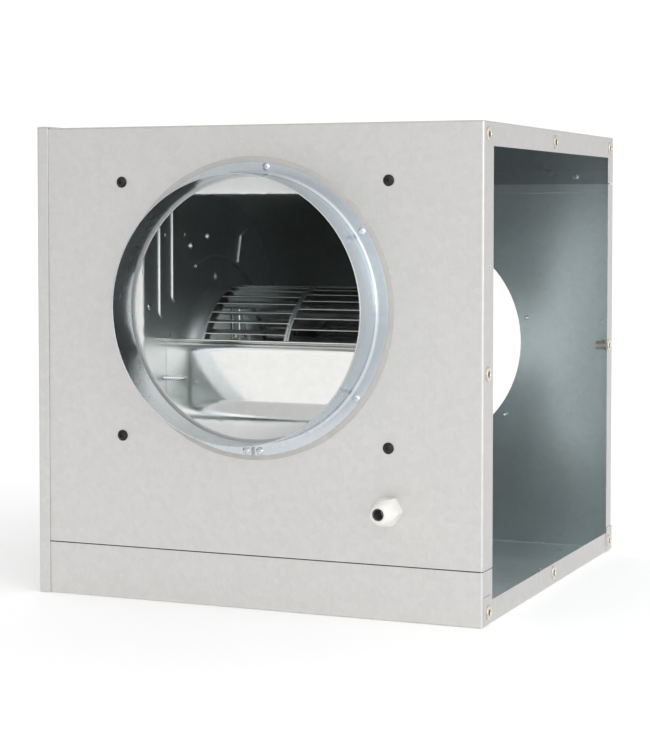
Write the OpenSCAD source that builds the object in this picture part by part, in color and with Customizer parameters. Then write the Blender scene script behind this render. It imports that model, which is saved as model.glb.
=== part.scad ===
// Boxed in-line duct fan. A cube casing of folded galvanised sheet holds a double-inlet
// centrifugal blower with forward-curved blades, and a motor inside its wheel drives it directly.
// The origin is under the middle of the casing, on the face it stands on. The outlet is towards -Y,
// the inlet towards +Y, the open service side towards +X, and +Z is up. Millimetres.

/* [Casing] */
// Width of the casing, side to side
case_w = 450; // [446:1:470]
// Depth of the casing, front to back
case_d = 450; // [448:1:470]
// Height of the casing
case_h = 450; // [446:1:470]
// Thickness of the casing sheet
sheet = 1.2; // [1:0.1:1.4]
// Outside radius of the folds
fold_r = 1.8; // [1.5:0.1:3]
// Height of the lip that closes the front below and the back above
lip_h = 50; // [45:1:60]
// Open seam between a lip and the panel above or below it
seam = 0.9; // [0.4:0.1:1.2]
// Width of the upright side flange at the front
flange_front = 28; // [26:1:32]
// Width of the upright side flange at the back
flange_rear = 20; // [20:1:26]
// Width of the side flange along the top
flange_top = 22; // [20:1:26]
// Width of the side flange along the bottom
flange_bottom = 21; // [20:1:26]
// Width of the cover's lip over the front, top and back
cover_lip = 9.5; // [8:0.5:14]

/* [Duct connections] */
// Outside diameter of each round spigot, for a 250 mm duct
spigot_d = 249; // [245:1:250]
// Length of each spigot from the back of its flange
spigot_len = 39; // [30:1:60]
// Outside diameter of the spigot's flange
spigot_flange_d = 272; // [270:1:275]
// Outside diameter of the foam ring under the flange
spigot_seal_d = 281; // [278:1:284]
// Height of the outlet's centre above the base
outlet_z = 280; // [279:1:281]
// Height of the inlet's centre above the base
inlet_z = 225; // [215:1:235]

/* [Side fixings] */
// Distance of the corner rivet nuts from the front and back
nut_inset_y = 14; // [13:0.5:15]
// Distance of the corner rivet nuts from the top and bottom
nut_inset_z = 12; // [11:0.5:13]
// Diameter of the rivet nut's thread
nut_thread_d = 6; // [5:1:6]

/* [Blower] */
// Clear width of the blower's outlet
outlet_w = 230; // [228:1:232]
// Clear height of the blower's outlet
outlet_h = 211; // [209:1:213]
// Spacing of the four blower bolts across
bolt_dx = 271; // [268:1:274]
// Spacing of the four blower bolts up and down
bolt_dz = 241; // [238:1:244]
// Height of the middle of the four bolts
bolt_z = 277; // [275:1:279]
// Thickness of the blower's sheet
blower_sheet = 1; // [0.8:0.1:1]

/* [Wheel] */
// Outside diameter of the wheel over its blades
wheel_d = 184; // [180:1:186]
// Depth of the blades, inside to outside
blade_depth = 14; // [12:0.5:14]
// Length of the wheel
wheel_len = 180; // [176:1:181]
// Number of blades in each half
blade_count = 44; // [36:1:48]
// Thickness of a blade
blade_t = 0.8; // [0.6:0.1:1]
// Angle by which the blade's tip leads its root
blade_sweep = 8; // [5:0.5:10]

/* [Motor] */
// Diameter of the motor's can
motor_d = 120; // [118:1:121]
// Diameter of the shaft
shaft_d = 12.7; // [12:0.1:12.7]
// Radial running clearance of the shaft in its bushes
shaft_gap = 0.03; // [0.02:0.01:0.06]
// Number of arms that hold the motor
arm_count = 3; // [3:1:3]

/* [Cable gland] */
// Distance of the gland from the casing's middle, to the right
gland_x = 136; // [130:1:140]
// Height of the gland
gland_z = 100; // [95:1:105]
// Width across the flats of the gland's hexagons
gland_af = 24; // [22:1:26]
// Diameter of the cable that the gland takes
cable_d = 9; // [7:0.5:10]

/* [Hidden] */
$fn = 72;

// Colours
galvanised = [0.80, 0.81, 0.82];
bright_zinc = [0.74, 0.78, 0.84];
nickel = [0.72, 0.69, 0.62];
black_steel = [0.10, 0.09, 0.09];
copper = [0.72, 0.42, 0.24];
white_plastic = [0.93, 0.92, 0.90];
white_foam = [0.92, 0.92, 0.90];
beige_foam = [0.74, 0.72, 0.69];
black_rubber = [0.06, 0.06, 0.07];
grey_plastic = [0.55, 0.57, 0.58];

// Casing planes
front_y = -case_d / 2;
rear_y = case_d / 2;
side_x = case_w / 2;
fit_gap = 0.1;
tab_w = 15;
cover_gap = 1.3;
corner_tab = [20, 25];
left_rise = 1;
big = 2 * case_w;

// Spigots: the panel's hole is a little smaller than the spigot, so its cut edge shows inside
spigot_t = 1;
seal_t = 1.2;
split_gap = 3.2;
foot_r = 3;
panel_hole_r = spigot_d / 2 - 3;
screw_circle_r = spigot_d / 2 + 7.3;
front_screw_angles = [83, 33, -37, -86, -92, -143, 148];
rear_screw_turn = -71;
flange_split = -89;

// Blower bolted behind the front panel, over a soft gasket
gasket_t = 4;
frame_t = 1.5;
frame_front = front_y + sheet + gasket_t;
frame_back = frame_front + frame_t;
frame_w = 300;
frame_low = bolt_z - 140;
frame_high = bolt_z + 140;
frame_lip = 20;
outlet_low = outlet_z - 105;
outlet_high = outlet_low + outlet_h;
plate_x = outlet_w / 2;
rim = 5;

// Wheel axis, parallel to X
axis_y = -65;
axis_z = 203;
wheel_r = wheel_d / 2;
half_len = wheel_len / 2;
blade_root_r = wheel_r - blade_depth;

// The scroll grows in quarter turns by a constant step, from the cut-off to the outlet's top
scroll_step = 25;
scroll_r3 = 175;
scroll_r2 = scroll_r3 - scroll_step;
scroll_r1 = scroll_r2 - scroll_step;
scroll_c3 = [-72, outlet_high - scroll_r3];
scroll_c2 = scroll_c3 + [scroll_step, 0];
scroll_c1 = scroll_c2 - [0, scroll_step];
scroll_front = scroll_c1[0] - scroll_r1;

// Cut-off: a gutter-shaped plate between the outlet's bottom and the wheel
cutoff_y = scroll_front - blower_sheet - 0.05;
cutoff_curl_r = 13;
cutoff_foot_r = 25;
cutoff_low = outlet_low - 10;
cutoff_curl_z = outlet_low + 60;
cutoff_screw = [cutoff_y - 4.6, outlet_low + 33.5];
cutoff_screw_len = 23;

// Inlet rings pressed into the side plates
throat_r = blade_root_r - 1;
bell_r = 16;
throat_end = half_len + 3.5;

// Motor, inside the right half of the wheel
motor_r = motor_d / 2;
shaft_r = shaft_d / 2;
motor_x0 = 10;
motor_x1 = 98;
bell_t = 3;
core_r = 32;
air_gap = 0.5;
arm_t = 3;
arm_w = 20;
arm_stand = 5;
arm_bolt_r = wheel_r + 9;
arm_angles = [for (i = [0 : arm_count - 1]) 90 + i * 360 / arm_count];
m6_r = 2.95;
m6_hole_r = 3.3;

// Rows of fixing places in the side flanges
nut_ys = [front_y + nut_inset_y, 0, rear_y - nut_inset_y];
nut_zs = [nut_inset_z, case_h / 2, case_h - nut_inset_z];

// Extrudes a Y-Z outline along X
module along_x(x0, len) {
  translate([x0, 0, 0]) rotate([90, 0, 90]) linear_extrude(len) children();
}

module rod_x(x0, len, r) {
  translate([x0, 0, 0]) rotate([0, 90, 0]) cylinder(h = len, r = r);
}

module rod_y(y0, len, r) {
  translate([0, y0, 0]) rotate([-90, 0, 0]) cylinder(h = len, r = r);
}

module tube_x(x0, len, r_in, r_out) {
  difference() {
    rod_x(x0, len, r_out);
    rod_x(x0 - 1, len + 2, r_in);
  }
}

// Turns a profile of [radius, distance] about the X axis
module turned_x(points) {
  rotate([0, 90, 0]) rotate_extrude() polygon(points);
}

module on_axis() {
  translate([0, axis_y, axis_z]) children();
}

module rounded_rect(w, h, r) {
  square([w - 2 * r, h], center = true);
  square([w, h - 2 * r], center = true);
  for (x = [-1, 1], y = [-1, 1]) {
    translate([x * (w / 2 - r), y * (h / 2 - r)]) circle(r);
  }
}

// A block with all twelve edges rounded, standing on Z = 0
module folded_block(w, d, h, r) {
  translate([0, 0, h / 2]) intersection() {
    linear_extrude(h, center = true) rounded_rect(w, d, r);
    rotate([90, 0, 0]) linear_extrude(d, center = true) rounded_rect(w, h, r);
    rotate([90, 0, 90]) linear_extrude(w, center = true) rounded_rect(d, h, r);
  }
}

// Casing

// Eight places round each side; the two low corners can be asked for, or left out, on their own.
// The left row sits a little higher, in step with its cover.
module nut_places(side, low_corners = undef) {
  rise = side < 0 ? left_rise : 0;
  for (i = [0 : 2], j = [0 : 2]) {
    low_corner = j == 0 && i != 1;
    if ((i != 1 || j != 1) && (is_undef(low_corners) || low_corner == low_corners)) {
      translate([side * side_x, nut_ys[i], nut_zs[j] + rise]) children();
    }
  }
}

module casing_skin() {
  difference() {
    folded_block(case_w, case_d, case_h, fold_r);
    translate([0, 0, sheet]) folded_block(case_w - 2 * sheet, case_d - 2 * sheet, case_h - 2 * sheet,
                                          fold_r - sheet / 2);
    translate([-big / 2, front_y + flange_front, flange_bottom])
      cube([big, case_d - flange_front - flange_rear, case_h - flange_top - flange_bottom]);
    for (side = [-1, 1]) nut_places(side) rod_x(-10, 20, 4.5);
  }
}

// Stepped tab of the front panel, lying behind the lip of the other shell
module joggle_tab() {
  w = case_w - 2 * sheet - 4;
  translate([-w / 2, front_y + sheet - 0.2, lip_h + seam / 2 + 0.1]) cube([w, sheet + 0.3, 9]);
  translate([-w / 2, front_y + sheet + fit_gap, lip_h - tab_w]) cube([w, sheet, tab_w + 5]);
}

module rivet_xs() {
  for (x = [-184, 0, 184]) translate([x, 0, case_h - lip_h + 8]) children();
}

module front_shell() {
  color(galvanised) difference() {
    union() {
      difference() {
        casing_skin();
        translate([-big / 2, -big / 2, -1]) cube([big, big, lip_h + seam / 2 + 1]);
        translate([-big / 2, 0, -1]) cube([big, big, case_h - lip_h + seam / 2 + 1]);
      }
      joggle_tab();
    }
    translate([0, 0, outlet_z]) {
      rod_y(front_y - 1, 5, panel_hole_r);
      screw_ring(front_screw_angles) rod_y(front_y - 1, 5, 1.85);
    }
    blower_bolt_places() rod_y(front_y - 1, 5, m6_hole_r);
    translate([gland_x, 0, gland_z]) rod_y(front_y - 1, 5, 10.1);
    rivet_xs() rod_y(rear_y - 5, 10, 2);
  }
}

module rear_shell() {
  color(galvanised) difference() {
    union() {
      difference() {
        casing_skin();
        translate([-big / 2, -big / 2, case_h - lip_h - seam / 2]) cube([big, big, big]);
        translate([-big / 2, -big, lip_h - seam / 2]) cube([big, big, big]);
      }
      translate([0, 0, case_h]) rotate([180, 0, 0]) joggle_tab();
      for (y = [front_y + fold_r, rear_y - fold_r - corner_tab[0]]) {
        difference() {
          translate([side_x - 0.2, y, fold_r]) cube([sheet + 0.2, corner_tab[0], corner_tab[1]]);
          nut_places(1) rod_x(-10, 20, 4.5);
        }
      }
    }
    translate([0, 0, inlet_z]) {
      rod_y(rear_y - 5, 10, panel_hole_r);
      screw_ring(rear_angles()) rod_y(rear_y - 5, 10, 1.85);
    }
    rivet_xs() rod_y(rear_y - 5, 10, 2);
  }
}

// Pan that closes the left side, with lips over the front, top and back
module left_cover() {
  out = fit_gap * 2 + sheet;
  color(galvanised) difference() {
    intersection() {
      translate([0, 0, -out]) folded_block(case_w + 2 * (cover_gap + sheet), case_d + 2 * out,
                                           case_h + 2 * out, fold_r);
      translate([-big, -big / 2, 0]) cube([big - side_x + cover_lip, big, big]);
    }
    translate([-side_x - cover_gap, front_y - 2 * fit_gap, -5])
      cube([big, case_d + 4 * fit_gap, case_h + 5 + 2 * fit_gap]);
    nut_places(-1) rod_x(-10, 20, m6_hole_r);
  }
}

// Button head with a hexagon socket, along local Z with its seat at 0
module button_head(r, h, socket_af) {
  ball_r = (r * r + h * h) / (2 * h) + 0.6;
  difference() {
    intersection() {
      cylinder(h = h, r = r);
      translate([0, 0, h - ball_r]) sphere(ball_r);
    }
    translate([0, 0, h * 0.35]) cylinder(h = h, r = socket_af / sqrt(3), $fn = 6);
  }
}

module left_cover_screws() {
  color(black_steel) nut_places(-1) translate([-cover_gap - sheet, 0, 0]) rotate([0, -90, 0]) {
    button_head(5.25, 3.3, 4);
    translate([0, 0, -12]) cylinder(h = 12.2, r = m6_r);
  }
}

// Flanged rivet nut, its flange outside the sheet and its crimped bulb inside
module rivet_nut(grip) {
  turned_x([
    [nut_thread_d / 2, -14], [4.4, -14], [4.4, -grip - 4.2], [5.7, -grip - 2.6],
    [5.7, -grip - 0.05], [4.4, -grip - 0.05], [4.4, 0.02], [6.6, 0.02], [6.6, 0.7], [6.2, 1.2],
    [nut_thread_d / 2 + 0.6, 1.2], [nut_thread_d / 2, 0.7]]);
}

module rivet_nuts_right() {
  color(nickel) {
    nut_places(1, false) rivet_nut(sheet);
    nut_places(1, true) translate([sheet, 0, 0]) rivet_nut(2 * sheet);
  }
}

module rivet_nuts_left() {
  color(nickel) nut_places(-1) mirror([1, 0, 0]) rivet_nut(sheet);
}

// Blind rivet, dome outside the casing
module casing_rivets() {
  color(bright_zinc) rivet_xs() {
    translate([0, rear_y + 0.02, 0]) rotate([-90, 0, 0]) button_dome(3.6, 1.3);
    rod_y(rear_y - 2 * sheet - fit_gap - 3, 2 * sheet + fit_gap + 3.05, 1.95);
    rod_y(rear_y - 2 * sheet - fit_gap - 2.6, 2.5, 2.9);
  }
}

// Plain dome along local Z with its seat at 0
module button_dome(r, h) {
  ball_r = (r * r + h * h) / (2 * h);
  intersection() {
    cylinder(h = h, r = r);
    translate([0, 0, h - ball_r]) sphere(ball_r);
  }
}

// Duct connections

module screw_ring(angles) {
  for (a = angles) translate([screw_circle_r * cos(a), 0, screw_circle_r * sin(a)]) children();
}

function rear_angles() = [for (a = front_screw_angles) a + rear_screw_turn];

// Round collar with a flange at its foot, the collar pointing along +Y from 0.
// The flange is a rolled strip whose ends nearly meet at the angle split.
module spigot(angles, split) {
  flat_r = spigot_d / 2 + foot_r + 0.6;
  difference() {
    rotate([-90, 0, 0]) rotate_extrude() polygon(spigot_section());
    screw_ring(angles) rod_y(-1, 5, 1.85);
    rotate([0, -split, 0]) translate([flat_r, -1, -split_gap / 2]) cube([30, 5, split_gap]);
  }
}

// Quarter bend of radius r about the foot's centre, as [radius, height], from collar to flange
function foot_bend(r) =
  [for (a = [0:15:90]) [spigot_d / 2 + foot_r - r * cos(a), spigot_t + foot_r - r * sin(a)]];

// Section of a spigot, down its inside, out under the flange and back up its outside
function spigot_section() =
  let (
    inside = foot_bend(foot_r + spigot_t - 0.02),
    outside = foot_bend(foot_r),
    back = [for (i = [len(outside) - 1:-1:0]) outside[i]]
  )
  concat(
    [[inside[0][0], spigot_len]],
    inside,
    [[spigot_flange_d / 2, inside[len(inside) - 1][1]], [spigot_flange_d / 2, spigot_t]],
    back,
    [[outside[0][0], spigot_len]]
  );

// Foam ring between a spigot's flange and the casing, from 0 along +Y
module spigot_seal(angles) {
  difference() {
    rod_y(0.01, seal_t - 0.01, spigot_seal_d / 2);
    rod_y(-1, seal_t + 2, spigot_d / 2 + foot_r + 1);
    screw_ring(angles) rod_y(-1, 5, 1.85);
  }
}

// Cross-recessed tapping screw along local Z, its seat at 0 and its point below
module pan_screw(len) {
  difference() {
    union() {
      button_dome(3.7, 2.3);
      translate([0, 0, -len + 3]) cylinder(h = len - 2.8, r = 1.75);
      translate([0, 0, -len]) cylinder(h = 3, r1 = 0.2, r2 = 1.75);
    }
    for (a = [0, 90]) rotate([0, 0, a]) translate([-2, -0.45, 1.1]) cube([4, 0.9, 3]);
  }
}

module front_spigot() {
  color(bright_zinc) translate([0, front_y - seal_t, outlet_z]) mirror([0, 1, 0])
    spigot(front_screw_angles, flange_split);
}

module front_spigot_seal() {
  color(beige_foam) translate([0, front_y, outlet_z]) mirror([0, 1, 0])
    spigot_seal(front_screw_angles);
}

module front_spigot_screws() {
  color(bright_zinc) translate([0, front_y - seal_t - spigot_t - 0.02, outlet_z])
    screw_ring(front_screw_angles) rotate([90, 0, 0]) pan_screw(13);
}

module rear_spigot() {
  color(bright_zinc) translate([0, rear_y + seal_t, inlet_z])
    spigot(rear_angles(), flange_split + rear_screw_turn);
}

module rear_spigot_seal() {
  color(beige_foam) translate([0, rear_y, inlet_z]) spigot_seal(rear_angles());
}

module rear_spigot_screws() {
  color(bright_zinc) translate([0, rear_y + seal_t + spigot_t + 0.02, inlet_z])
    screw_ring(rear_angles()) rotate([-90, 0, 0]) pan_screw(11);
}

// Blower outlet

module blower_bolt_places() {
  for (x = [-1, 1], z = [-1, 1]) translate([x * bolt_dx / 2, 0, bolt_z + z * bolt_dz / 2]) children();
}

module outlet_gasket() {
  color(white_foam) difference() {
    translate([-frame_w / 2, front_y + sheet, frame_low])
      cube([frame_w, gasket_t - 0.02, frame_high - frame_low]);
    translate([-plate_x, front_y, outlet_low]) cube([outlet_w, 2 * gasket_t, outlet_h]);
    translate([0, 0, outlet_z]) screw_ring(front_screw_angles) rod_y(front_y - 1, 8, 2);
    blower_bolt_places() rod_y(front_y - 1, 8, m6_hole_r);
  }
}

module outlet_frame() {
  lip_len = frame_lip + 0.3;
  lip_y = frame_back - 0.3;
  color(galvanised) difference() {
    union() {
      difference() {
        translate([-frame_w / 2, frame_front, frame_low])
          cube([frame_w, frame_t, frame_high - frame_low]);
        translate([-plate_x, frame_front - 1, outlet_low]) cube([outlet_w, frame_t + 2, outlet_h]);
      }
      for (x = [-plate_x - blower_sheet - fit_gap - sheet, plate_x + blower_sheet + fit_gap]) {
        translate([x, lip_y, outlet_low - 6]) cube([sheet, lip_len, outlet_h + 6]);
      }
      for (z = [outlet_high + blower_sheet + fit_gap, cutoff_low - blower_sheet - fit_gap - sheet]) {
        translate([-plate_x, lip_y, z]) cube([outlet_w, lip_len, sheet]);
      }
    }
    blower_bolt_places() rod_y(frame_front - 1, 5, m6_hole_r);
    translate([0, 0, outlet_z]) screw_ring(front_screw_angles) rod_y(frame_front - 1, 5, 2.2);
    frame_rivet_places() translate([0, 0, -5]) cylinder(h = 10, r = 2);
  }
}

// Rivets through the frame's lips, local Z pointing out of the air stream
module frame_rivet_places() {
  y = frame_back + 10.3;
  for (side = [-1, 1]) {
    translate([side * plate_x, y, outlet_z - 1]) rotate([0, side * 90, 0]) children();
    translate([side * plate_x / 2, y, outlet_high]) children();
  }
}

module outlet_frame_rivets() {
  stack = blower_sheet + fit_gap + sheet;
  color(bright_zinc) frame_rivet_places() {
    mirror([0, 0, 1]) translate([0, 0, 0.02]) button_dome(3.8, 1.6);
    translate([0, 0, -0.1]) cylinder(h = stack + 1.5, r = 1.95);
    translate([0, 0, stack + 0.02]) cylinder(h = 2, r1 = 3.1, r2 = 2.6);
  }
}

module blower_bolts() {
  color(black_steel) blower_bolt_places() translate([0, front_y - 0.02, 0]) rotate([90, 0, 0]) {
    button_head(5.25, 3.3, 4);
    translate([0, 0, -16]) cylinder(h = 16.2, r = m6_r);
  }
}

module blower_nuts() {
  color(bright_zinc) blower_bolt_places() translate([0, frame_back + 0.02, 0]) rotate([-90, 0, 0])
    difference() {
      union() {
        cylinder(h = 1.4, r = 6.9);
        cylinder(h = 6, r = 10 / sqrt(3), $fn = 6);
      }
      translate([0, 0, -1]) cylinder(h = 9, r = m6_r + 0.05);
    }
}

// Scroll

module quadrant(centre, r, dy, dz) {
  intersection() {
    translate(centre) circle(r);
    translate(centre + [dy < 0 ? -big : 0, dz < 0 ? -big : 0]) square(big);
  }
}

// Side view of the scroll and its throat, grown by a margin
module scroll_outline(margin) {
  quadrant(scroll_c1, scroll_r1 + margin, -1, -1);
  quadrant(scroll_c2, scroll_r2 + margin, 1, -1);
  quadrant(scroll_c3, scroll_r3 + margin, 1, 1);
  translate([frame_back + 0.05, cutoff_low - margin])
    square([scroll_c3[0] - frame_back - 0.05, outlet_high - cutoff_low + 2 * margin]);
  translate([scroll_c3[0] - 1, scroll_c1[1] - 1])
    square([scroll_c1[0] - scroll_c3[0] + 2, scroll_c3[1] - scroll_c1[1] + 2]);
}

// Ring section of the pressed inlet, [radius, distance from the wheel's middle]
module bell_profile() {
  centre = [throat_r + blower_sheet / 2 + bell_r, plate_x + blower_sheet / 2 - bell_r];
  intersection() {
    difference() {
      translate(centre) circle(bell_r + blower_sheet / 2);
      translate(centre) circle(bell_r - blower_sheet / 2);
    }
    translate([0, centre[1]]) square([centre[0] + 0.5, big]);
  }
  translate([throat_r, throat_end]) square([blower_sheet, centre[1] - throat_end + 0.1]);
}

// Half-round bead pressed into the air stream, hooked at its lower end
module bead(y, z0, z1) {
  hook = 6;
  r = 1.6;
  translate([plate_x, y, z0 + hook]) {
    cylinder(h = z1 - z0 - hook, r = r);
    translate([0, 0, z1 - z0 - hook]) sphere(r);
    translate([0, hook, 0]) rotate([90, 0, 90]) rotate_extrude(angle = 70, start = 180)
      translate([hook, 0]) circle(r);
  }
}

// Right side plate; the left one mirrors it
module side_plate() {
  difference() {
    union() {
      difference() {
        along_x(plate_x, blower_sheet) scroll_outline(rim);
        on_axis() rod_x(plate_x - 1, 5, throat_r + blower_sheet / 2 + bell_r);
      }
      on_axis() rotate([0, 90, 0]) rotate_extrude() bell_profile();
      difference() {
        union() {
          bead(-188, outlet_z - 12, outlet_high - 14);
          bead(-161, outlet_z + 2, outlet_high - 14);
          on_axis() translate([plate_x, 0, 0]) rotate([90, 0, 90])
            rotate_extrude(angle = 160, start = -48) translate([wheel_r + 29, 0]) circle(1.5);
          for (p = [[-83, 345], [-121, 336]]) translate([plate_x, p[0], p[1]]) sphere(3);
          along_x(plate_x - 1.2, 1.7)
            polygon([[-12, 317], [-4, 345], [12, 352], [40, 330], [48, 300], [27, 292]]);
        }
        translate([plate_x + blower_sheet / 2, -big / 2, 0]) cube([50, big, big]);
      }
    }
    translate([0, cutoff_screw[0], cutoff_screw[1]]) rod_x(plate_x - 3, 6, 2.4);
    frame_rivet_places() translate([0, 0, -0.01]) cylinder(h = 10, r = 2);
    arm_places() translate([0, 0, arm_bolt_r]) rod_x(plate_x - 2, 6, m6_hole_r);
    box_screw_places() rod_x(plate_x - 2, 6, 1.85);
    clip_screw_place() rod_x(plate_x - 2, 6, 1.85);
  }
}

module side_plate_left() {
  color(galvanised) mirror([1, 0, 0]) side_plate();
}

module side_plate_right() {
  color(galvanised) side_plate();
}

// Rolled sheet between the side plates, its inner face at radius r
module sheet_arc(centre, r, from, to) {
  translate([-plate_x + 0.05, centre[0], centre[1]]) rotate([90, 0, 90])
    rotate_extrude(angle = to - from, start = from)
      translate([r, 0]) square([blower_sheet, outlet_w - 0.1]);
}

// Flat sheet between the side plates, d deep and h high
module sheet_flat(y, z, d, h) {
  translate([-plate_x + 0.05, y, z]) cube([outlet_w - 0.1, d, h]);
}

module scroll_sheet() {
  color(galvanised) difference() {
    union() {
      sheet_flat(scroll_front - blower_sheet, scroll_c1[1], blower_sheet, 20);
      sheet_arc(scroll_c1, scroll_r1, 180, 270);
      sheet_arc(scroll_c2, scroll_r2, 270, 360);
      sheet_arc(scroll_c3, scroll_r3, 0, 90);
      sheet_flat(frame_back + 0.05, outlet_high, scroll_c3[0] - frame_back - 0.05, blower_sheet);
    }
    frame_rivet_places() translate([0, 0, -5]) cylinder(h = 10, r = 2);
  }
}

module cutoff_plate() {
  foot_c = [cutoff_y - cutoff_foot_r, cutoff_low - blower_sheet + cutoff_foot_r];
  color(galvanised) {
    sheet_arc([cutoff_y - cutoff_curl_r, cutoff_curl_z], cutoff_curl_r - blower_sheet, 0, 105);
    sheet_flat(cutoff_y - blower_sheet, foot_c[1], blower_sheet, cutoff_curl_z - foot_c[1]);
    sheet_arc(foot_c, cutoff_foot_r - blower_sheet, -90, 0);
    sheet_flat(frame_back + 0.05, cutoff_low - blower_sheet, foot_c[0] - frame_back - 0.05,
               blower_sheet);
  }
}

// Long tapping screws through the side plates, their threads standing in front of the cut-off
module cutoff_screws() {
  pitch = 2;
  core = 1.55;
  crest = 2.3;
  turns = floor(cutoff_screw_len / pitch) - 2;
  thread = [for (i = [turns - 1 : -1 : 0]) each [[crest, -(i + 0.5) * pitch], [core, -i * pitch]]];
  head = [[4.4, 0.02], [4.4, 0.9], [3.2, 1], [2.6, 2.2]];
  color(bright_zinc) for (side = [0, 1]) mirror([side, 0, 0])
    translate([plate_x + blower_sheet + 0.02, cutoff_screw[0], cutoff_screw[1]])
      rotate([0, 90, 0]) rotate_extrude()
        polygon(concat([[0, 2.4], [0, -cutoff_screw_len]], thread, head));
}

// Wheel

// Outline of one blade: its camber line leans forward towards the tip
function blade_point(t, side) =
  let (r = blade_root_r + blade_depth * t, a = blade_sweep * pow(t, 1.7))
  [r * cos(a) - side * blade_t / 2 * sin(a + 20 * t), r * sin(a) + side * blade_t / 2 * cos(a + 20 * t)];

module blade() {
  steps = 6;
  polygon(concat([for (i = [0 : steps]) blade_point(i / steps, 1)],
                 [for (i = [steps : -1 : 0]) blade_point(i / steps, -1)]));
}

// Right half: blades joined by a narrow band at each end, turned by an angle about the axis
module blade_strip(turn) {
  inner = 0.7;
  outer = half_len - 1.2;
  on_axis() {
    along_x(inner + 0.4, outer - inner - 0.8) for (i = [0 : blade_count - 1])
      rotate(turn + i * 360 / blade_count) blade();
    tube_x(inner, 1.9, wheel_r - 7, wheel_r);
    tube_x(outer - 1.2, 1.2, wheel_r - 9, wheel_r);
  }
}

module blade_strip_left() {
  color(galvanised) mirror([1, 0, 0]) blade_strip(1.8);
}

module blade_strip_right() {
  color(galvanised) blade_strip(6);
}

module end_ring() {
  on_axis() turned_x([
    [blade_root_r + 0.5, half_len], [blade_root_r + 0.5, half_len - 1.15], [wheel_r + 0.8, half_len - 1.15],
    [wheel_r + 0.8, half_len - 0.4], [wheel_r + 0.3, half_len]]);
}

module end_ring_left() {
  color(galvanised) mirror([1, 0, 0]) end_ring();
}

module end_ring_right() {
  color(galvanised) end_ring();
}

module hub_rivet_places() {
  on_axis() for (a = [0 : 90 : 270]) rotate([a, 0, 0]) translate([0, 0, 19]) children();
}

module centre_disc() {
  color(galvanised) difference() {
    on_axis() {
      turned_x([[shaft_r + 0.1, -0.6], [wheel_r + 0.4, -0.6], [wheel_r + 0.4, 0.6], [shaft_r + 0.1, 0.6]]);
      tube_x(0.5, 1.3, 40, 42);
    }
    hub_rivet_places() rod_x(-3, 6, 2.05);
  }
}

module wheel_hub() {
  color(nickel) difference() {
    on_axis() turned_x([
      [shaft_r + 0.04, -0.62], [24, -0.62], [24, -3.4], [15, -3.4], [14, -6], [14, -24],
      [shaft_r + 0.04, -24]]);
    hub_rivet_places() rod_x(-5, 6, 2.05);
    on_axis() translate([-15, 0, 0]) cylinder(h = 20, r = 3.05);
  }
}

module hub_rivets() {
  color(bright_zinc) hub_rivet_places() {
    rod_x(-5, 7, 2);
    translate([0.65, 0, 0]) rotate([0, 90, 0]) button_dome(3.6, 1.8);
    translate([-3.5, 0, 0]) rotate([0, -90, 0]) button_dome(3.2, 1.7);
  }
}

module hub_set_screw() {
  color(black_steel) on_axis() translate([-15, 0, shaft_r + 0.05 - 0.8]) difference() {
    cylinder(h = 9, r = 3);
    translate([0, 0, 5.5]) cylinder(h = 5, r = 3 / sqrt(3), $fn = 6);
  }
}

// Motor

module motor_shaft() {
  color(bright_zinc) on_axis() difference() {
    turned_x([[0, -32], [shaft_r - 0.8, -32], [shaft_r, -31.2], [shaft_r, 113.2], [shaft_r - 0.8, 114],
              [0, 114]]);
    translate([-40, -10, shaft_r - 0.8]) cube([37, 20, 5]);
  }
}

module motor_rotor() {
  r = core_r - air_gap;
  color(nickel) on_axis() turned_x([
    [shaft_r + 0.03, 34], [r, 34], [r, 82], [shaft_r + 0.03, 82]]);
  color(bright_zinc) on_axis() for (x = [28.4, 82.05]) tube_x(x, 5.5, 18, r - 0.5);
}

module can_bolt_places() {
  on_axis() for (a = [45 : 90 : 315]) rotate([a, 0, 0]) translate([0, 0, motor_r - 7]) children();
}

// Vent holes round a motor end
module vents(x, r) {
  on_axis() for (a = [0 : 45 : 315]) rotate([a, 0, 0]) translate([0, 0, r]) rod_x(x, 8, 5);
}

module motor_can() {
  color(black_steel) difference() {
    on_axis() turned_x([
      [10.05, 6], [15, 6], [16, motor_x0 - 1], [motor_r - 4, motor_x0], [motor_r, motor_x0 + 4],
      [motor_r, motor_x1], [motor_r - 1.5, motor_x1], [motor_r - 1.5, motor_x0 + 4],
      [motor_r - 4.5, motor_x0 + 2], [15, motor_x0 + 2], [15, 20], [10.05, 20]]);
    can_bolt_places() rod_x(motor_x0 - 5, 12, 2.1);
    vents(motor_x0 - 3, 34);
  }
}

module motor_end_bell() {
  color(black_steel) difference() {
    on_axis() turned_x([
      [10.05, 92], [15, 92], [15, motor_x1 + 0.5], [motor_r - 1.6, motor_x1 - 3],
      [motor_r - 1.6, motor_x1 + 0.02],
      [motor_r, motor_x1 + 0.02], [motor_r, motor_x1 + bell_t], [40, motor_x1 + bell_t + 3],
      [16, motor_x1 + bell_t + 4],
      [15, 110], [10.05, 110]]);
    can_bolt_places() rod_x(motor_x1 - 5, 12, 2.1);
    vents(motor_x1 - 2, 28);
  }
}

module bush(x0, x1) {
  on_axis() tube_x(x0, x1 - x0, shaft_r + shaft_gap, 10);
}

module front_bush() {
  color(copper) bush(6.5, 20);
}

module rear_bush() {
  color(copper) bush(92, 109);
}

module stator_core() {
  color(nickel) difference() {
    on_axis() tube_x(33, 50, core_r, motor_r - 1.6);
    can_bolt_places() rod_x(30, 60, 2.1);
  }
}

module stator_windings() {
  color(copper) on_axis() for (x = [27, 89]) {
    translate([x, 0, 0]) rotate([0, 90, 0]) rotate_extrude() translate([42, 0]) circle(5.8);
  }
}

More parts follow.
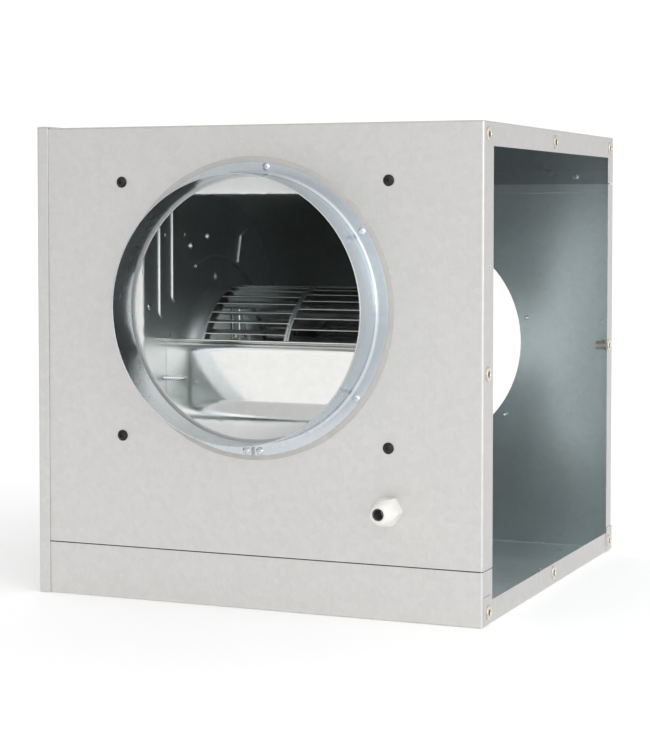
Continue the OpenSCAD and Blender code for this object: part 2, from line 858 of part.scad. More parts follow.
module motor_through_bolts() {
  nut_x = motor_x0 - 3.4;
  head_x = motor_x1 + bell_t + 1.8;
  color(bright_zinc) can_bolt_places() {
    rod_x(nut_x, head_x - nut_x + 1, 2);
    rod_x(head_x, 3, 3.6);
    translate([nut_x, 0, 0]) rotate([0, 90, 0]) cylinder(h = 3, r = 7 / sqrt(3), $fn = 6);
  }
}

band_x0 = 60;
band_w = 22;

module motor_band() {
  color(bright_zinc) difference() {
    on_axis() {
      tube_x(band_x0, band_w, motor_r + 0.05, motor_r + 1.55);
      rotate([-30, 0, 0]) for (y = [-5, 3]) translate([band_x0, y, motor_r + 0.8]) cube([band_w, 2, 9.5]);
    }
    on_axis() rotate([-30, 0, 0]) {
      translate([band_x0 - 1, -2.6, motor_r - 2]) cube([band_w + 2, 5.2, 6]);
      translate([band_x0 + band_w / 2, 0, motor_r + 6]) rod_y(-8, 16, 2.6);
    }
  }
}

module band_screw() {
  color(bright_zinc) on_axis() rotate([-30, 0, 0]) translate([band_x0 + band_w / 2, 0, motor_r + 6]) {
    rod_y(-9, 18, 2.4);
    rod_y(5.02, 3, 4.2);
    translate([0, -9, 0]) rotate([-90, 0, 0]) cylinder(h = 3.98, r = 8 / sqrt(3), $fn = 6);
  }
}

// Local frames of the three arms: Z points out from the wheel's axis
module arm_places() {
  on_axis() for (a = arm_angles) rotate([a - 90, 0, 0]) children();
}

arm_x = plate_x + blower_sheet + arm_stand;

module motor_arms() {
  r0 = motor_r + 1.6;
  color(bright_zinc) arm_places() difference() {
    translate([0, -arm_w / 2, 0]) {
      translate([band_x0, 0, r0]) cube([arm_x + arm_t - band_x0, arm_w, arm_t]);
      translate([arm_x, 0, r0]) cube([arm_t, arm_w, arm_bolt_r + 9 - r0]);
    }
    translate([0, 0, arm_bolt_r]) rod_x(arm_x - 1, 8, m6_hole_r);
  }
}

module arm_grommets() {
  color(black_rubber) arm_places() translate([0, 0, arm_bolt_r])
    tube_x(arm_x - arm_stand + 0.02, arm_stand - 0.04, m6_hole_r, 7);
}

module arm_bolts() {
  color(bright_zinc) arm_places() translate([0, 0, arm_bolt_r]) {
    rod_x(plate_x - 7, arm_x + arm_t - plate_x + 7.1, m6_r);
    translate([arm_x + arm_t + 0.02, 0, 0]) rotate([0, 90, 0]) cylinder(h = 4, r = 10 / sqrt(3), $fn = 6);
  }
}

module arm_nuts() {
  color(bright_zinc) arm_places() translate([plate_x - 5.05, 0, arm_bolt_r]) rotate([0, 90, 0])
    difference() {
      cylinder(h = 5, r = 10 / sqrt(3), $fn = 6);
      translate([0, 0, -1]) cylinder(h = 8, r = m6_r + 0.05);
    }
}

// Run capacitor and terminal box, on the outside of the right side plate
cap_r = 17.5;
cap_len = 68;
cap_pos = [plate_x + blower_sheet + cap_r + 2, -200, 276];

module clip_screw_place() {
  translate([0, cap_pos[1] + cap_len / 2, cap_pos[2] - cap_r - 8]) children();
}

module capacitor() {
  color(grey_plastic) translate(cap_pos) {
    rod_y(0, cap_len, cap_r);
    rod_y(-1.5, cap_len + 3, cap_r - 1.5);
    for (x = [-6, 6]) translate([x - 0.4, -9, -3]) cube([0.8, 9, 6]);
  }
}

module capacitor_clip() {
  w = 16;
  y = cap_pos[1] + cap_len / 2 - w / 2;
  foot_x = plate_x + blower_sheet + 0.02;
  color(bright_zinc) difference() {
    union() {
      translate([cap_pos[0], y, cap_pos[2]]) rod_y(0, w, cap_r + 1.2);
      translate([foot_x, y, cap_pos[2] - cap_r - 14]) cube([1.2, w, cap_r + 14]);
    }
    translate(cap_pos) rod_y(-5, cap_len + 10, cap_r + 0.05);
    clip_screw_place() rod_x(foot_x - 1, 5, 1.85);
  }
}

box_size = [30, 82, 62];
box_pos = [plate_x + blower_sheet + 0.05, -196, 316];
box_wall = 2.5;

module box_corners(inset) {
  for (y = [inset, box_size[1] - inset], z = [inset, box_size[2] - inset]) {
    translate([0, box_pos[1] + y, box_pos[2] + z]) children();
  }
}

// Two of the box's four corners are also screwed to the side plate
module box_screw_places() {
  for (p = [[20, 31], [62, 31]]) translate([0, box_pos[1] + p[0], box_pos[2] + p[1]]) children();
}

module terminal_box() {
  color(grey_plastic) difference() {
    union() {
      difference() {
        translate(box_pos) cube(box_size);
        translate(box_pos + [box_wall, box_wall, box_wall])
          cube([box_size[0], box_size[1] - 2 * box_wall, box_size[2] - 2 * box_wall]);
      }
      box_corners(5) rod_x(box_pos[0], box_size[0], 4);
    }
    box_corners(5) rod_x(box_pos[0] + 12, box_size[0], 1.6);
    box_screw_places() rod_x(box_pos[0] - 1, 5, 1.85);
    translate([box_pos[0] + 15, box_pos[1] + 41, box_pos[2] - 1]) cylinder(h = 5, r = 6);
  }
}

module terminal_box_lid() {
  color(grey_plastic) difference() {
    translate(box_pos + [box_size[0] + 0.05, -1, -1]) cube([3, box_size[1] + 2, box_size[2] + 2]);
    box_corners(5) rod_x(box_pos[0] + box_size[0] - 1, 6, 1.7);
  }
}

module terminal_box_screws() {
  x = box_pos[0] + box_size[0] + 3.07;
  color(bright_zinc) {
    box_corners(5) translate([x, 0, 0]) rotate([0, 90, 0]) small_screw(12);
    box_screw_places() translate([box_pos[0] + box_wall + 0.02, 0, 0]) rotate([0, 90, 0]) small_screw(7);
    clip_screw_place() translate([plate_x + blower_sheet + 1.24, 0, 0]) rotate([0, 90, 0]) small_screw(7);
  }
}

module small_screw(len) {
  difference() {
    union() {
      button_dome(3, 1.8);
      translate([0, 0, -len]) cylinder(h = len + 0.2, r = 1.5);
    }
    for (a = [0, 90]) rotate([0, 0, a]) translate([-1.6, -0.35, 0.9]) cube([3.2, 0.7, 3]);
  }
}

// Cable gland

stem_r = 9.9;
gland_corner_r = gland_af / sqrt(3);
gland_flange = 5;

module at_gland() {
  translate([gland_x, front_y, gland_z]) rotate([90, 0, 0]) children();
}

module gland_body() {
  color(white_plastic) at_gland() difference() {
    union() {
      intersection() {
        translate([0, 0, 0.02]) cylinder(h = gland_flange - 0.02, r = gland_corner_r, $fn = 6);
        translate([0, 0, -1]) cylinder(h = gland_flange + 1, r = gland_corner_r - 0.5);
      }
      translate([0, 0, -13]) cylinder(h = 13 + gland_flange + 9, r = stem_r);
    }
    translate([0, 0, -14]) cylinder(h = 40, r = 6.6);
  }
}

module gland_locknut() {
  color(white_plastic) at_gland() translate([0, 0, -sheet - 5.05]) difference() {
    cylinder(h = 5, r = (gland_af + 3) / sqrt(3), $fn = 6);
    translate([0, 0, -1]) cylinder(h = 8, r = stem_r + 0.05);
  }
}

// Domed compression nut: a hexagon cut by a round nose
module gland_dome_nut() {
  c = gland_corner_r;
  color(white_plastic) at_gland() translate([0, 0, gland_flange + 0.6]) difference() {
    intersection() {
      cylinder(h = 22, r = c, $fn = 6);
      rotate_extrude() {
        polygon([[0, 0], [c - 0.6, 0], [c, 0.8], [c, 7], [c - 1.6, 10.5], [c - 3.2, 16],
                 [c - 4.6, 19.6], [c - 6.4, 21.6], [c - 7.6, 22], [0, 22]]);
      }
    }
    translate([0, 0, -1]) cylinder(h = 14, r = stem_r + 0.05);
    translate([0, 0, 12]) cylinder(h = 6, r1 = stem_r + 0.05, r2 = 6.2);
    translate([0, 0, -1]) cylinder(h = 30, r = 5.6);
  }
}

module gland_seal() {
  color(black_rubber) at_gland() translate([0, 0, gland_flange + 3]) difference() {
    union() {
      cylinder(h = 12, r = 6.5);
      cylinder(h = 18.4, r = 5.5);
    }
    translate([0, 0, -1]) cylinder(h = 24, r = cable_d / 2);
  }
}

front_shell();
rear_shell();
left_cover();
left_cover_screws();
rivet_nuts_right();
rivet_nuts_left();
casing_rivets();
front_spigot();
front_spigot_seal();
front_spigot_screws();
rear_spigot();
rear_spigot_seal();
rear_spigot_screws();
outlet_gasket();
outlet_frame();
outlet_frame_rivets();
blower_bolts();
blower_nuts();
side_plate_left();
side_plate_right();
scroll_sheet();
cutoff_plate();
cutoff_screws();
blade_strip_left();
blade_strip_right();
end_ring_left();
end_ring_right();
centre_disc();
wheel_hub();
hub_rivets();
hub_set_screw();
motor_shaft();
motor_rotor();
motor_can();
motor_end_bell();
front_bush();
rear_bush();
stator_core();
stator_windings();
motor_through_bolts();
motor_band();
band_screw();
motor_arms();
arm_grommets();
arm_bolts();
arm_nuts();
capacitor();
capacitor_clip();
terminal_box();
terminal_box_lid();
terminal_box_screws();
gland_body();
gland_locknut();
gland_dome_nut();
gland_seal();
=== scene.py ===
"""Looks, light and camera for the boxed duct fan. Lengths are metres in the row frame."""
import math
import random

import bmesh
import bpy
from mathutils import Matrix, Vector


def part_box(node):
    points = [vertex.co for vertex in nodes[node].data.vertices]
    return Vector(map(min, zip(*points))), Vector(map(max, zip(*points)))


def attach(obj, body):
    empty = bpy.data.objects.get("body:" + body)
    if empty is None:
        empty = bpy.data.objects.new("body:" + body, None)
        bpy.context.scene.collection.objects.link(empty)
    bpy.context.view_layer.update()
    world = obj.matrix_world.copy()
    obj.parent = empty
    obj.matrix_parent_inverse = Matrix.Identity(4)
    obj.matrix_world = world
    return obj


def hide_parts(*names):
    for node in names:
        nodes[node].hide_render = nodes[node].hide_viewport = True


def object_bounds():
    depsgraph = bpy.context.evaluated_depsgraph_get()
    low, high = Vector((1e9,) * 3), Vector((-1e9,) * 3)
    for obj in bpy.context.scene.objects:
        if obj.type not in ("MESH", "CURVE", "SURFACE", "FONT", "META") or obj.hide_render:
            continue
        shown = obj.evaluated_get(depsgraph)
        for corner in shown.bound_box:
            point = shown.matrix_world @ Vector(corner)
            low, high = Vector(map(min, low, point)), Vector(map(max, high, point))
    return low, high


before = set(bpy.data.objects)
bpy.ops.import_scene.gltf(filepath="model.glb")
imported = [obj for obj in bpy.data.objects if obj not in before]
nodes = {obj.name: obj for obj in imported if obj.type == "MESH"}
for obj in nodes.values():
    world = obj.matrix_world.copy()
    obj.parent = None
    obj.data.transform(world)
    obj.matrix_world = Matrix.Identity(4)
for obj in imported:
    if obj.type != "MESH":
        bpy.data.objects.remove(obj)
cad_low, cad_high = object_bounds()

# Faces further out than this from the casing's middle are its outside
OUTSIDE = 0.2245
CASING_MID_Z = 0.225
# The joint between the front panel and the strip below it, where a near-black band is painted
SEAM_Z, SEAM_HALF, SEAM_FRONT_Y = 0.05, 0.004, -0.2225
# Painted shade: the lip under the top, at the back, is painted darker
LIP_Y, LIP_Z, LIP_SHADE = 0.2, 0.40, 0.62
# Painted shade: the flanges round the open side are painted darker than the panels
OPEN_SIDE_SHADE = 0.84
# Noise scale across and along the rolling direction of sheet
ACROSS_ROLLING, ALONG_ROLLING = 900, 14


# ---------------------------------------------------------------- node helpers
class Shader:
    """A small builder for procedural node materials in object space."""

    def __init__(self, name):
        self.mat = bpy.data.materials.new(name)
        self.mat.use_nodes = True
        self.tree = self.mat.node_tree
        self.tree.nodes.clear()
        self.out = self.tree.nodes.new("ShaderNodeOutputMaterial")
        self.coord = self.tree.nodes.new("ShaderNodeTexCoord").outputs["Object"]

    def put(self, socket, value):
        if isinstance(value, bpy.types.NodeSocket):
            self.tree.links.new(value, socket)
        elif value is not None:
            socket.default_value = value

    def node(self, kind, inputs=None, out=0, **props):
        n = self.tree.nodes.new(kind)
        for k, v in props.items():
            setattr(n, k, v)
        for k, v in (inputs or {}).items():
            self.put(n.inputs[k], v)
        return n.outputs[out]

    def math(self, op, a, b=0.0, c=0.0, clamp=False):
        return self.node("ShaderNodeMath", {0: a, 1: b, 2: c}, operation=op, use_clamp=clamp)

    def scaled(self, x, y, z):
        return self.node("ShaderNodeMapping", {"Vector": self.coord, "Scale": (x, y, z)})

    def noise(self, scale, detail=3.0, rough=0.55, distort=0.0, vector=None):
        return self.node("ShaderNodeTexNoise", {"Vector": vector or self.coord, "Scale": scale,
                                                "Detail": detail, "Roughness": rough, "Distortion": distort})

    def cells(self, scale, vector):
        return self.node("ShaderNodeTexVoronoi", {"Vector": vector, "Scale": scale}, out="Color")

    def span(self, value, lo, hi, a=0.0, b=1.0, smooth=True):
        kind = "SMOOTHSTEP" if smooth else "LINEAR"
        return self.node("ShaderNodeMapRange", {"Value": value, "From Min": lo, "From Max": hi, "To Min": a,
                                                "To Max": b}, interpolation_type=kind)

    def mix(self, t, a, b):
        n = self.tree.nodes.new("ShaderNodeMix")
        n.data_type = "RGBA"
        for i, v in ((0, t), (6, a), (7, b)):
            self.put(n.inputs[i], v)
        return n.outputs[2]

    def tint(self, colour, amount):
        """colour times a grey factor"""
        n = self.tree.nodes.new("ShaderNodeVectorMath")
        n.operation = "SCALE"
        self.put(n.inputs[0], colour[:3] if isinstance(colour, tuple) else colour)
        self.put(n.inputs["Scale"], amount)
        return n.outputs[0]

    def xyz(self, vector=None):
        n = self.tree.nodes.new("ShaderNodeSeparateXYZ")
        self.put(n.inputs[0], vector or self.coord)
        return n.outputs

    def bump(self, height, strength, distance, normal=None):
        return self.node("ShaderNodeBump", {"Height": height, "Strength": strength, "Distance": distance,
                                            "Normal": normal})

    def round_edges(self, radius):
        """The rounded normal, and how near an edge a point is"""
        soft = self.node("ShaderNodeBevel", {"Radius": radius}, samples=4)
        flat = self.node("ShaderNodeNewGeometry", out="Normal")
        dot = self.node("ShaderNodeVectorMath", {0: soft, 1: flat}, out="Value", operation="DOT_PRODUCT")
        return soft, self.span(dot, 0.999, 0.90)

    def finish(self, **inputs):
        p = self.tree.nodes.new("ShaderNodeBsdfPrincipled")
        for k, v in inputs.items():
            self.put(p.inputs[k.replace("_", " ")], v)
        self.tree.links.new(p.outputs[0], self.out.inputs[0])
        return self.mat


def rgb(r, g, b):
    return (r, g, b, 1.0)


def changed(base, gain, lift=0.0):
    """A colour made lighter or darker"""
    return rgb(*[min(1.0, c * gain + lift) for c in base])


def sheet_metal(name, base, rough, spangle, mottle, grain, bump, streak, edge=0.25, metallic=1.0, inner=None,
                inner_rough=None, edge_radius=0.0007, dent=0.12, cell=170):
    """Zinc-coated sheet: spangle cells, rolling streaks, mottling and rubbed edges. inner and inner_rough are
    for the faces that look into the casing. grain is 0 across the rolling direction."""
    s = Shader(name)
    warped = s.node("ShaderNodeVectorMath", {0: s.coord, 1: s.tint(s.node("ShaderNodeTexNoise",
             {"Vector": s.coord, "Scale": 35.0, "Detail": 2.0}, out="Color"), 0.006)}, operation="ADD")
    flakes = s.xyz(s.cells(cell, warped))
    fine = s.xyz(s.cells(3 * cell, warped))
    roll = s.noise(1.0, 4, 0.6, vector=s.scaled(*[ALONG_ROLLING * g or ACROSS_ROLLING for g in grain]))
    cloud = s.noise(7, 4, 0.6, 0.4)
    dust = s.noise(620, 2, 0.7)
    soft, near_edge = s.round_edges(edge_radius)
    worn = s.math("MULTIPLY", near_edge, s.span(s.noise(60, 3, 0.6), 0.25, 0.7, 0.35, 1.0))
    level = s.math("ADD", s.math("MULTIPLY_ADD", flakes[0], 2 * spangle, 1 - spangle),
                   s.math("MULTIPLY_ADD", cloud, 2 * mottle, -mottle))
    level = s.math("ADD", level, s.math("MULTIPLY_ADD", roll, 2 * streak, -streak))
    level = s.math("ADD", level, s.math("MULTIPLY_ADD", fine[1], spangle, -spangle / 2))
    colour, roughness = rgb(*base), rough
    if inner is not None:
        x, y, z = s.xyz()
        out_x = s.math("GREATER_THAN", s.math("ABSOLUTE", x), OUTSIDE)
        out_y = s.math("GREATER_THAN", s.math("ABSOLUTE", y), OUTSIDE)
        out_z = s.math("GREATER_THAN", s.math("ABSOLUTE", s.math("SUBTRACT", z, CASING_MID_Z)), OUTSIDE)
        outer = s.math("MAXIMUM", s.math("MAXIMUM", out_x, out_y), out_z)
        off_seam = s.math("ABSOLUTE", s.math("SUBTRACT", z, SEAM_Z))
        # a near-black band is painted along the joint on the front faces
        seam_black_band = s.math("MULTIPLY", s.math("LESS_THAN", y, SEAM_FRONT_Y),
                           s.math("LESS_THAN", off_seam, SEAM_HALF))
        # painted shade: the lip under the top at the back is darkened by LIP_SHADE
        lip = s.math("MULTIPLY", s.math("GREATER_THAN", y, LIP_Y), s.math("GREATER_THAN", z, LIP_Z))
        within = s.mix(lip, rgb(*inner), changed(inner, LIP_SHADE))
        within = s.mix(seam_black_band, within, rgb(0.03, 0.03, 0.03))
        # painted shade on the flanges round the open side, by OPEN_SIDE_SHADE
        open_side = s.math("GREATER_THAN", x, OUTSIDE)
        colour = s.mix(outer, within, s.mix(open_side, rgb(*base), changed(base, OPEN_SIDE_SHADE)))
        roughness = s.span(outer, 0, 1, inner_rough, rough, smooth=False)
    colour = s.tint(colour, level)
    colour = s.mix(s.math("MULTIPLY", worn, edge), colour, changed(base, 1.18, 0.03))
    varied = s.math("ADD", roughness, s.math("MULTIPLY_ADD", flakes[2], 0.04, -0.02))
    varied = s.math("ADD", varied, s.math("MULTIPLY_ADD", cloud, 0.12, -0.06))
    varied = s.math("SUBTRACT", varied, s.math("MULTIPLY", worn, 0.10), clamp=True)
    tall = s.math("ADD", s.math("MULTIPLY", roll, 0.5), s.math("MULTIPLY", dust, 0.35))
    tall = s.math("ADD", tall, s.math("MULTIPLY", flakes[1], 0.08))
    normal = s.bump(tall, bump, 0.0004, soft)
    normal = s.bump(s.noise(9, 2, 0.5), dent, 0.002, normal)
    return s.finish(Base_Color=colour, Metallic=metallic, Roughness=varied, Normal=normal)


def plated(name, base, rough, metallic=1.0, wear=(0.9, 0.9, 0.9), wear_amount=0.5, stain=None, coat=0.0):
    """Turned or pressed metal pieces, with rubbed edges, fine grain and stains"""
    s = Shader(name)
    soft, near_edge = s.round_edges(0.0004)
    cloud = s.noise(90, 4, 0.6)
    fine = s.noise(900, 3, 0.6)
    ring = s.noise(1.0, 2, 0.5, vector=s.scaled(40, 1500, 40))
    worn = s.math("MULTIPLY", near_edge, s.span(cloud, 0.3, 0.65, 0.3, 1.0))
    colour = s.tint(rgb(*base), s.span(cloud, 0.3, 0.75, 0.86, 1.08))
    if stain is not None:
        colour = s.mix(s.span(s.noise(260, 4, 0.65), 0.55, 0.75, 0, 0.5), colour, rgb(*stain))
    colour = s.mix(s.math("MULTIPLY", worn, wear_amount), colour, rgb(*wear))
    roughness = s.math("ADD", s.span(cloud, 0.3, 0.7, rough - 0.07, rough + 0.09),
                       s.math("MULTIPLY_ADD", fine, 0.14, -0.07), clamp=True)
    tall = s.math("ADD", s.math("MULTIPLY", fine, 0.6), s.math("MULTIPLY", ring, 0.4))
    return s.finish(Base_Color=colour, Metallic=metallic, Roughness=roughness, Coat_Weight=coat,
                    Normal=s.bump(tall, 0.18, 0.0003, soft))


def moulded(name, base, rough, grain, bump, variation=0.06, dirt=(0.35, 0.33, 0.30), dirt_amount=0.18,
            sss=0.0):
    """Plastic, rubber and foam: grain, faint flow marks and grime in patches"""
    s = Shader(name)
    soft, near_edge = s.round_edges(0.0006)
    cloud = s.noise(45, 4, 0.6, 0.5)
    pores = s.noise(grain, 3, 0.7)
    specks = s.node("ShaderNodeTexVoronoi", {"Vector": s.coord, "Scale": grain * 0.8}, out="Distance")
    colour = s.tint(rgb(*base), s.span(cloud, 0.25, 0.75, 1 - variation, 1 + variation))
    grime = s.math("MULTIPLY", s.span(s.noise(28, 5, 0.7), 0.52, 0.78), dirt_amount)
    colour = s.mix(grime, colour, rgb(*dirt))
    colour = s.mix(s.math("MULTIPLY", near_edge, 0.25), colour, changed(base, 1.15, 0.02))
    roughness = s.math("ADD", s.span(cloud, 0.3, 0.7, rough - 0.06, rough + 0.06),
                       s.math("MULTIPLY_ADD", pores, 0.12, -0.06), clamp=True)
    tall = s.math("ADD", pores, s.math("MULTIPLY", specks, 0.8))
    return s.finish(Base_Color=colour, Roughness=roughness, Subsurface_Weight=sss,
                    Subsurface_Scale=0.003, Normal=s.bump(tall, bump, 0.0004, soft))


# ------------------------------------------------------------------- materials
casing = sheet_metal("casing_zinc", (0.725, 0.718, 0.704), 0.50, spangle=0.022, mottle=0.016, grain=(0, 1, 1),
                     bump=0.08, streak=0.03, metallic=0.92, dent=0.05, inner=(0.72, 0.79, 0.80),
                     inner_rough=0.31)
spigot = sheet_metal("spigot_zinc", (0.63, 0.67, 0.70), 0.26, spangle=0.02, mottle=0.03, grain=(1, 0, 1),
                     bump=0.06, streak=0.03)
blower = sheet_metal("blower_zinc", (0.76, 0.80, 0.80), 0.38, spangle=0.02, mottle=0.03, grain=(0, 1, 1),
                     bump=0.05, streak=0.02, dent=0.04, edge=0.1)
cutoff = sheet_metal("cutoff_zinc", (0.84, 0.84, 0.82), 0.13, spangle=0.015, mottle=0.02, grain=(0, 1, 1),
                     bump=0.02, streak=0.012, edge=0.5, dent=0.03)
wheel = sheet_metal("wheel_zinc", (0.74, 0.75, 0.74), 0.30, spangle=0.03, mottle=0.05, grain=(0, 1, 1),
                    bump=0.07, streak=0.04, edge=0.8, edge_radius=0.0004)
zinc = plated("zinc_plate", (0.74, 0.78, 0.83), 0.20)
nickel = plated("nickel_plate", (0.74, 0.69, 0.60), 0.30, stain=(0.45, 0.38, 0.30))
black = plated("black_oxide", (0.030, 0.026, 0.024), 0.34, metallic=0.6, wear=(0.30, 0.27, 0.25),
               wear_amount=0.45)
paint = plated("black_enamel", (0.016, 0.017, 0.018), 0.32, metallic=0.0, wear=(0.12, 0.12, 0.12),
               wear_amount=0.4, coat=0.4)
laminated = plated("laminations", (0.36, 0.36, 0.37), 0.42, stain=(0.25, 0.17, 0.12))
copper = plated("enamelled_wire", (0.62, 0.26, 0.12), 0.30, metallic=0.8, stain=(0.35, 0.12, 0.05))
bronze = plated("bronze", (0.60, 0.42, 0.22), 0.36, stain=(0.30, 0.20, 0.10))
foam = moulded("white_foam", (0.86, 0.86, 0.84), 0.75, grain=900, bump=0.35, variation=0.03, dirt_amount=0.05)
seal = moulded("seal_foam", (0.56, 0.54, 0.515), 0.80, grain=900, bump=0.35, variation=0.05)
cable_seal = moulded("cable_seal_rubber", (0.085, 0.075, 0.07), 0.55, grain=600, bump=0.2)
rubber = moulded("black_rubber", (0.022, 0.022, 0.024), 0.60, grain=600, bump=0.25, dirt=(0.12, 0.11, 0.10))
nylon = moulded("white_nylon", (0.83, 0.82, 0.79), 0.38, grain=500, bump=0.10, variation=0.02,
                dirt_amount=0.08, sss=0.12)
grey_plastic = moulded("grey_plastic", (0.30, 0.32, 0.33), 0.45, grain=500, bump=0.15)

LOOKS = {
    casing: ["front_shell", "rear_shell", "left_cover"],
    spigot: ["front_spigot", "rear_spigot"],
    blower: ["outlet_frame", "side_plate_left", "side_plate_right", "scroll_sheet"],
    cutoff: ["cutoff_plate"],
    wheel: ["blade_strip_left", "blade_strip_right", "end_ring_left", "end_ring_right", "centre_disc"],
    zinc: ["casing_rivets", "front_spigot_screws", "rear_spigot_screws", "outlet_frame_rivets", "blower_nuts",
           "cutoff_screws", "hub_rivets", "motor_shaft", "motor_through_bolts", "motor_band", "band_screw",
           "motor_arms", "arm_bolts", "arm_nuts", "capacitor_clip", "terminal_box_screws"],
    nickel: ["rivet_nuts_right", "rivet_nuts_left", "wheel_hub"],
    black: ["left_cover_screws", "blower_bolts", "hub_set_screw"],
    paint: ["motor_can", "motor_end_bell"],
    laminated: ["motor_rotor", "stator_core"],
    copper: ["stator_windings"],
    bronze: ["front_bush", "rear_bush"],
    seal: ["front_spigot_seal", "rear_spigot_seal"],
    rubber: ["arm_grommets"],
    cable_seal: ["gland_seal"],
    nylon: ["gland_body", "gland_locknut", "gland_dome_nut"],
    grey_plastic: ["capacitor", "terminal_box", "terminal_box_lid"],
    foam: ["outlet_gasket"],
}
for look, names in LOOKS.items():
    for n in names:
        nodes[n].data.materials.clear()
        nodes[n].data.materials.append(look)


def mesh_object(name, bm):
    """A linked object from a bmesh, which is used up"""
    me = bpy.data.meshes.new(name)
    bm.to_mesh(me)
    bm.free()
    ob = bpy.data.objects.new(name, me)
    bpy.context.scene.collection.objects.link(ob)
    return ob


# ------------------------------------------------------------------ foam strips
STRIP_SIDE, STRIP_LOW, STRIP_HIGH = 0.035, 0.038, 0.031
STRIP_EDGE = 0.0009
STEPS_A_SIDE = 90
# (how far across the strip, how deep from front to back) round its section, with rounded corners
STRIP_SECTION = [(0.0, 1.0), (-0.008, 0.55), (0.0, 0.22), (0.035, 0.04), (0.12, 0.0), (0.5, 0.02),
                 (0.88, 0.0), (0.965, 0.04), (1.0, 0.22), (1.008, 0.55), (1.0, 1.0)]


def ring_between(inner, outer, side_steps):
    """Matching points of two rectangles (x, z low, x, z high), side by side round both"""
    def corners(box):
        x0, z0, x1, z1 = box
        return [Vector((x0, 0, z0)), Vector((x1, 0, z0)), Vector((x1, 0, z1)), Vector((x0, 0, z1))]
    a, b = corners(inner), corners(outer)
    pairs = []
    for side in range(4):
        nxt = (side + 1) % 4
        for step in range(side_steps):
            t = step / side_steps
            pairs.append((a[side].lerp(a[nxt], t), b[side].lerp(b[nxt], t)))
    return pairs


def wavy(count, amount, seed):
    """A closed row of small smooth offsets, with a few nicks where the foam was cut"""
    rnd = random.Random(seed)
    waves = [(rnd.randint(2, 9), rnd.uniform(0, math.tau), 0.55) for _ in range(4)]
    waves += [(rnd.randint(14, 60), rnd.uniform(0, math.tau), 0.28) for _ in range(8)]
    row = []
    for i in range(count):
        t = math.tau * i / count
        row.append(sum(k * math.sin(n * t + phase) for n, phase, k in waves) / 2.2 * amount)
    for _ in range(9):
        at = rnd.randrange(count)
        depth = rnd.uniform(0.6, 1.4) * amount
        for d in (-2, -1, 0, 1, 2):
            row[(at + d) % count] -= depth * math.exp(-d * d / 1.5)
    return row


def foam_frame():
    """The soft foam strips between the casing and the blower, cut by hand and a little swollen"""
    low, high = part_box("outlet_gasket")
    y_front, y_back = low.y + 0.00005, high.y - 0.00002
    outer = (low.x + STRIP_EDGE, low.z + STRIP_EDGE, high.x - STRIP_EDGE, high.z - STRIP_EDGE)
    inner = (low.x + STRIP_SIDE, low.z + STRIP_LOW, high.x - STRIP_SIDE, high.z - STRIP_HIGH)
    pairs = ring_between(inner, outer, STEPS_A_SIDE)
    shift_in, shift_out = wavy(len(pairs), 0.0013, 3), wavy(len(pairs), 0.0006, 5)
    puff = wavy(len(pairs), 0.00018, 8)
    bm = bmesh.new()
    rings = []
    for i, (a, b) in enumerate(pairs):
        away = b - a
        away.y = 0
        away.normalize()
        a2 = a - away * shift_in[i]
        b2 = b + away * min(shift_out[i], 0.0)
        ring = []
        for along, deep in STRIP_SECTION:
            v = a2.lerp(b2, along)
            v.y = y_front + (y_back - y_front) * deep + (0.0002 - puff[i]) * (1 - deep)
            ring.append(bm.verts.new(v))
        rings.append(ring)
    for i, r0 in enumerate(rings):
        r1 = rings[(i + 1) % len(rings)]
        for j in range(len(r0)):
            k = (j + 1) % len(r0)
            bm.faces.new((r0[j], r0[k], r1[k], r1[j]))
    bmesh.ops.recalc_face_normals(bm, faces=bm.faces)
    for f in bm.faces:
        f.smooth = True
    ob = mesh_object("foam_strips", bm)
    ob.data.materials.append(foam)
    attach(ob, "casing")
    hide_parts("outlet_gasket")


foam_frame()


# ------------------------------------------------------------- stage and light
FLOOR_HALF, FLOOR_GAP = 30, 0.0005
# The sky's strength from the left, from the open right side, from behind the fan, and as the camera sees it
FROM_LEFT, FROM_RIGHT, FROM_BEHIND, AS_SEEN = 0.12, 1.8, 0.80, 1.05

ground = bmesh.new()
bmesh.ops.create_grid(ground, x_segments=1, y_segments=1, size=FLOOR_HALF)
bmesh.ops.translate(ground, verts=ground.verts, vec=(0, 0, cad_low.z - FLOOR_GAP))
floor = mesh_object("floor", ground)
fs = Shader("studio_floor")
patches = fs.noise(3, 3, 0.6)
floor_tone = fs.tint(rgb(0.93, 0.93, 0.93), fs.span(patches, 0.2, 0.8, 0.985, 1.0))
floor.data.materials.append(fs.finish(Base_Color=floor_tone, Roughness=fs.span(patches, 0.2, 0.8, 0.75, 0.85),
                                      Specular_IOR_Level=0.2, Emission_Color=rgb(1, 1, 1),
                                      Emission_Strength=0.22))

world = bpy.data.worlds.new("studio")
bpy.context.scene.world = world
world.use_nodes = True
wt = world.node_tree
sky = wt.nodes["Background"]
sky.inputs[0].default_value = rgb(1, 1, 1)


def world_node(kind, inputs, **props):
    """A node of the sky, and all its outputs"""
    n = wt.nodes.new(kind)
    for k, v in props.items():
        setattr(n, k, v)
    for k, v in inputs.items():
        if isinstance(v, bpy.types.NodeSocket):
            wt.links.new(v, n.inputs[k])
        else:
            n.inputs[k].default_value = v
    return n.outputs


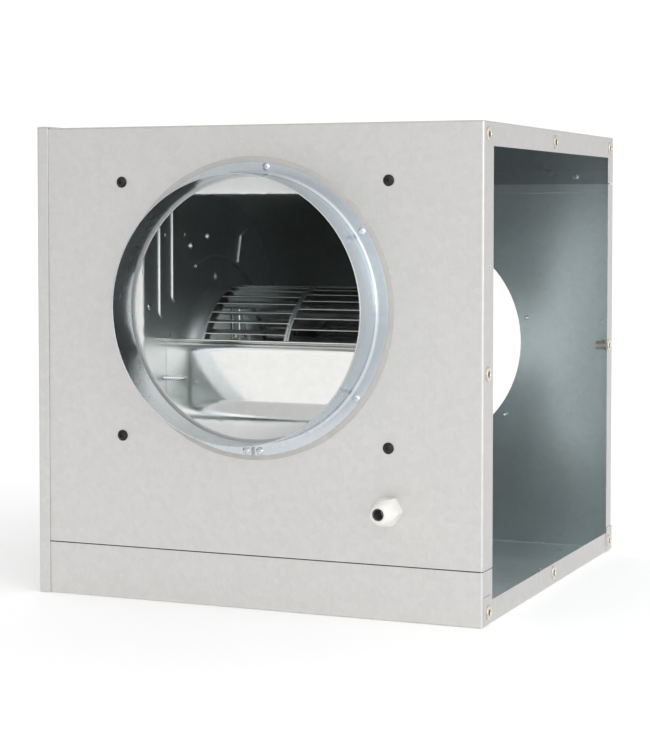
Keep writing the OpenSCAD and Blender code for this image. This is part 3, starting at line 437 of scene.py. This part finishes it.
way = world_node("ShaderNodeSeparateXYZ", {0: world_node("ShaderNodeTexCoord", {})["Generated"]})
across = world_node("ShaderNodeMapRange", {"Value": way[0], "From Min": -1, "From Max": 1,
                                           "To Min": FROM_LEFT, "To Max": FROM_RIGHT})[0]
behind = world_node("ShaderNodeMapRange", {"Value": way[1], "From Min": -0.2, "From Max": 0.35},
                    interpolation_type="SMOOTHSTEP")[0]
both = world_node("ShaderNodeMix", {0: behind, 2: across, 3: FROM_BEHIND})[0]
seen = world_node("ShaderNodeLightPath", {})["Is Camera Ray"]
wt.links.new(world_node("ShaderNodeMix", {0: seen, 2: both, 3: AS_SEEN})[0], sky.inputs[1])


def softbox(name, loc, target, size, power):
    """A rectangular light aimed at target, which the camera doesn't see"""
    light = bpy.data.lights.new(name, "AREA")
    light.shape = "RECTANGLE"
    light.size, light.size_y = size
    light.energy = power
    ob = bpy.data.objects.new(name, light)
    ob.location = loc
    ob.rotation_mode = "QUATERNION"
    ob.rotation_quaternion = (Vector(target) - Vector(loc)).to_track_quat("-Z", "Y")
    ob.visible_camera = False
    bpy.context.scene.collection.objects.link(ob)


softbox("front_right", (1.3, -1.5, 0.9), (0.15, -0.2, 0.2), (1.1, 1.1), 1.2)
softbox("side", (2.1, -0.1, 0.5), (0.1, 0.2, 0.2), (1.0, 0.8), 4)

# ---------------------------------------------------------------------- camera
cam_data = bpy.data.cameras.new("camera")
cam = bpy.data.objects.new("camera", cam_data)
bpy.context.scene.collection.objects.link(cam)
# Looks down by CAMERA_DOWN degrees, and is turned to the left by CAMERA_TURN
CAMERA_DOWN, CAMERA_TURN = 2.51, 22.76
cam.location = (0.7646, -1.8719, 0.3675)
cam.rotation_euler = (math.radians(90 - CAMERA_DOWN), 0, math.radians(CAMERA_TURN))
cam_data.sensor_width = 36
cam_data.lens = 94.3
cam_data.shift_y = -0.1
cam_data.clip_start, cam_data.clip_end = 0.05, 100
bpy.context.scene.camera = cam

view = bpy.context.scene.view_settings
view.view_transform = "Standard"
view.look = "None"
view.exposure = 0.0
